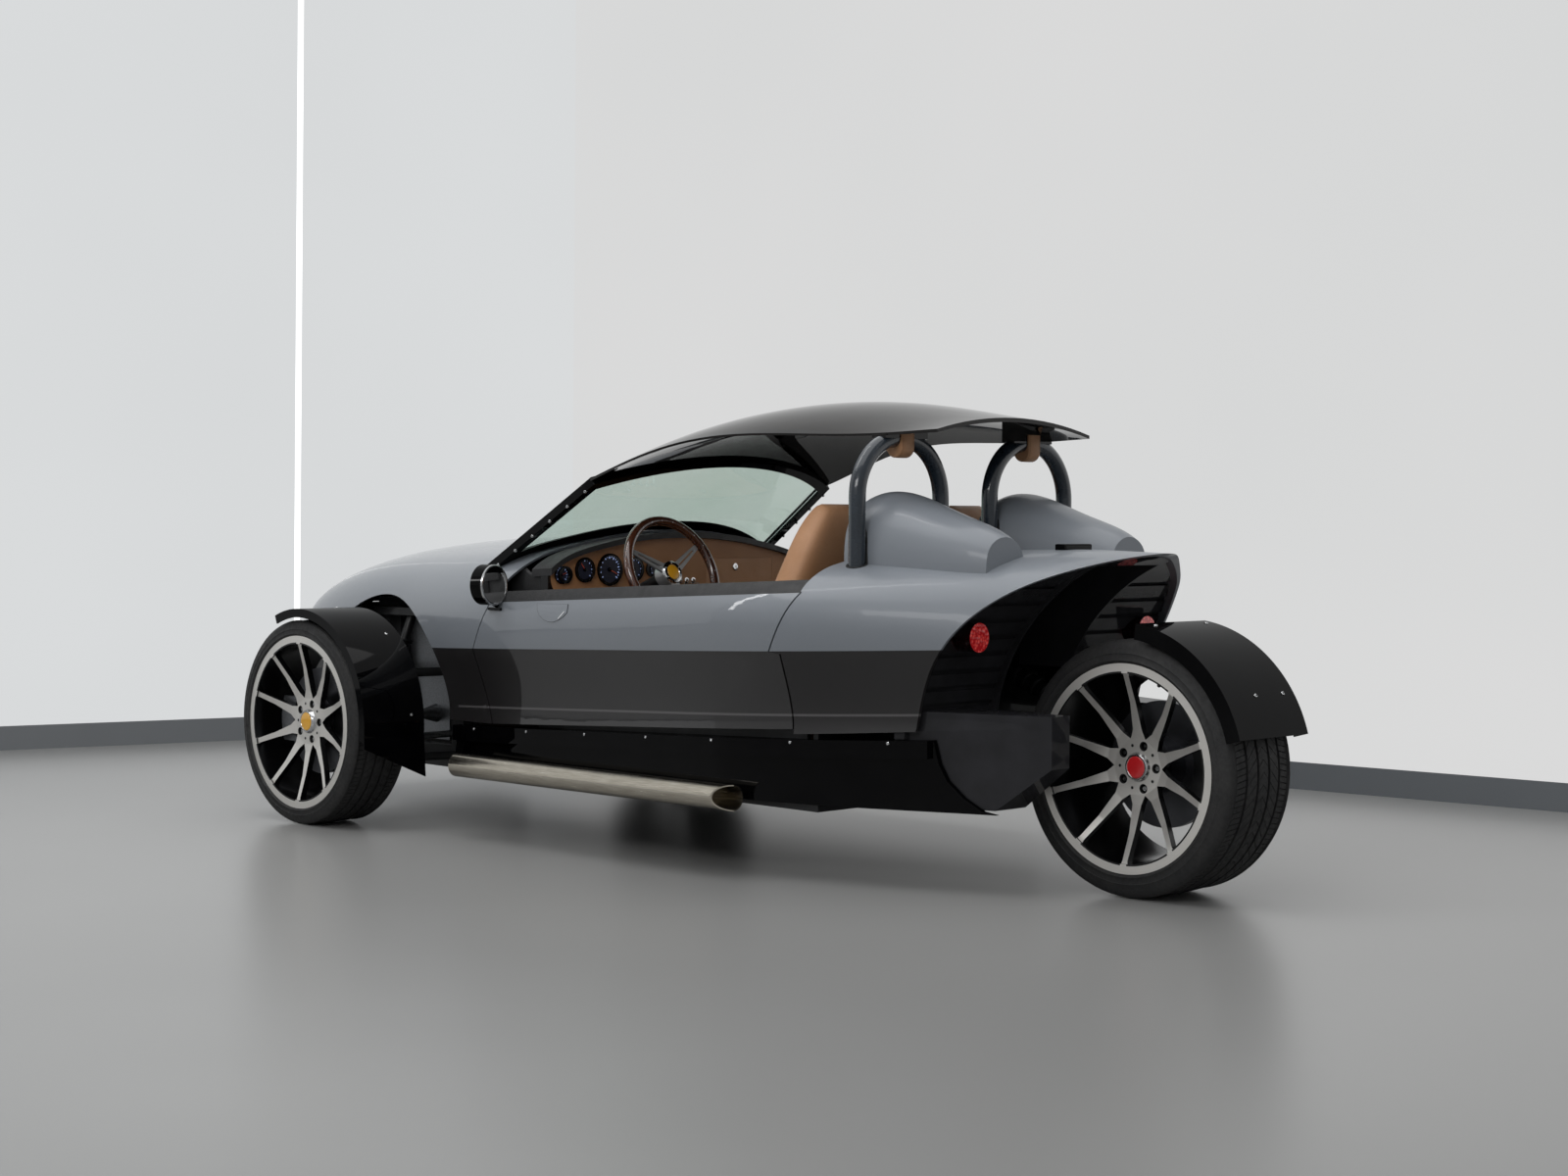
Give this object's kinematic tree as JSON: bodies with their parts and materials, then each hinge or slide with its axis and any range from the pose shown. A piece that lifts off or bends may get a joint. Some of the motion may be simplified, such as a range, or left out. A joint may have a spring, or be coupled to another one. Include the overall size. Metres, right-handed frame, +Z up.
{
  "type": "three_wheeled_car",
  "caption": "Open three wheeled roadster with cycle fenders on steered front wheels, a rear wheel on a single sided arm, roll hoops and a roof cap.",
  "frame": {"origin": "on the ground, midway along and across the car", "axes": "+X towards the car's left side, +Y towards its tail, +Z up"},
  "size_m": [1.747, 3.7038, 1.2998],
  "materials": {
    "paint_light": "gloss mid grey body paint",
    "paint_dark": "dark blue grey paint",
    "tan_leather": "tan leather",
    "black_plastic": "matt black",
    "black_gloss": "gloss black",
    "black_metal": "satin black paint",
    "cast_metal": "cast",
    "machined_alloy": "machined faces",
    "red_lens": "red lamp lens",
    "steel": "brushed",
    "tyre": "black tyre rubber",
    "glass": "faint green tint",
    "wood_rim": "dark varnished wood"
  },
  "bodies": {
    "chassis": {"body_front": "paint_light", "body_rear": "paint_light", "tub": "black_metal", "engine_block": "cast_metal", "wishbones": "black_metal", "coil_overs": "black_metal", "half_shafts": "steel", "windscreen_frame": "black_gloss", "windscreen_glass": "glass", "roof_panel": "paint_dark", "roll_hoops": "paint_dark", "dash_panel": "tan_leather", "dash_brow": "black_plastic", "steering_column": "black_metal", "seats": "tan_leather", "rocker_panels": "black_gloss", "side_pipes": "steel", "headlamps": "black_gloss", "grille": "black_gloss", "front_bumper": "black_gloss", "tail_fascia": "black_gloss", "tail_lamps": "red_lens", "swing_arm": "cast_metal", "rear_fender": "black_gloss"},
    "knuckle_left": {"knuckle_left": "cast_metal", "fender_front_left": "black_gloss"},
    "knuckle_right": {"knuckle_right": "cast_metal", "fender_front_right": "black_gloss"},
    "wheel_front_left": {"tyre_front_left": "tyre", "rim_front_left": "machined_alloy", "disc_front_left": "steel"},
    "wheel_front_right": {"tyre_front_right": "tyre", "rim_front_right": "machined_alloy", "disc_front_right": "steel"},
    "wheel_rear": {"tyre_rear": "tyre", "rim_rear": "machined_alloy", "disc_rear": "steel"},
    "rack": {"steering_rack": "steel"},
    "steering_wheel": {"steering_wheel": "wood_rim"},
    "door_left": {"door_left": "paint_light", "door_trim_left": "black_plastic", "mirror_left": "black_plastic"},
    "door_right": {"door_right": "paint_light", "door_trim_right": "black_plastic", "mirror_right": "black_plastic"},
    "glovebox_lid": {"glovebox_lid": "tan_leather"}
  },
  "joints": [
    {"name": "steer_left", "type": "hinge", "parent": "chassis", "child": "knuckle_left", "pos_m": [0.69, -1.15187, 0.3185], "axis": [0, 0, 1], "range_deg": [-29, 29]},
    {"name": "steer_right", "type": "hinge", "parent": "chassis", "child": "knuckle_right", "pos_m": [-0.69, -1.15187, 0.3185], "axis": [0, 0, 1], "range_deg": [-29, 29]},
    {"name": "steering_wheel_turn", "type": "hinge", "parent": "chassis", "child": "steering_wheel", "pos_m": [0.28, -0.06187, 0.8], "axis": [0, 0.9272, 0.3746], "range_deg": [-436, 436]},
    {"name": "rack_slide", "type": "slide", "parent": "chassis", "child": "rack", "axis": [-1, 0, 0], "range_m": [-0.0635, 0.0635]},
    {"name": "spin_front_left", "type": "hinge", "parent": "knuckle_left", "child": "wheel_front_left", "pos_m": [0.763, -1.15187, 0.3185], "axis": [1, 0, 0], "continuous": true},
    {"name": "spin_front_right", "type": "hinge", "parent": "knuckle_right", "child": "wheel_front_right", "pos_m": [-0.763, -1.15187, 0.3185], "axis": [1, 0, 0], "continuous": true},
    {"name": "spin_rear", "type": "hinge", "parent": "chassis", "child": "wheel_rear", "pos_m": [0, 1.49013, 0.3315], "axis": [1, 0, 0], "continuous": true},
    {"name": "door_left_swing", "type": "hinge", "parent": "chassis", "child": "door_left", "pos_m": [0.652, 0.80613, 0.5], "axis": [0, 0, 1], "range_deg": [0, 65]},
    {"name": "door_right_swing", "type": "hinge", "parent": "chassis", "child": "door_right", "pos_m": [-0.652, 0.80613, 0.5], "axis": [0, 0, -1], "range_deg": [0, 65]},
    {"name": "glovebox_lid_drop", "type": "hinge", "parent": "chassis", "child": "glovebox_lid", "pos_m": [-0.24, -0.31687, 0.735], "axis": [-1, 0, 0], "range_deg": [0, 70]}
  ],
  "couplings": [
    {"joint": "steer_right", "follows": "steer_left", "ratio": 1},
    {"joint": "steering_wheel_turn", "follows": "steer_left", "ratio": 15},
    {"joint": "rack_slide", "follows": "steer_left", "m_per_rad": 0.1245}
  ]
}
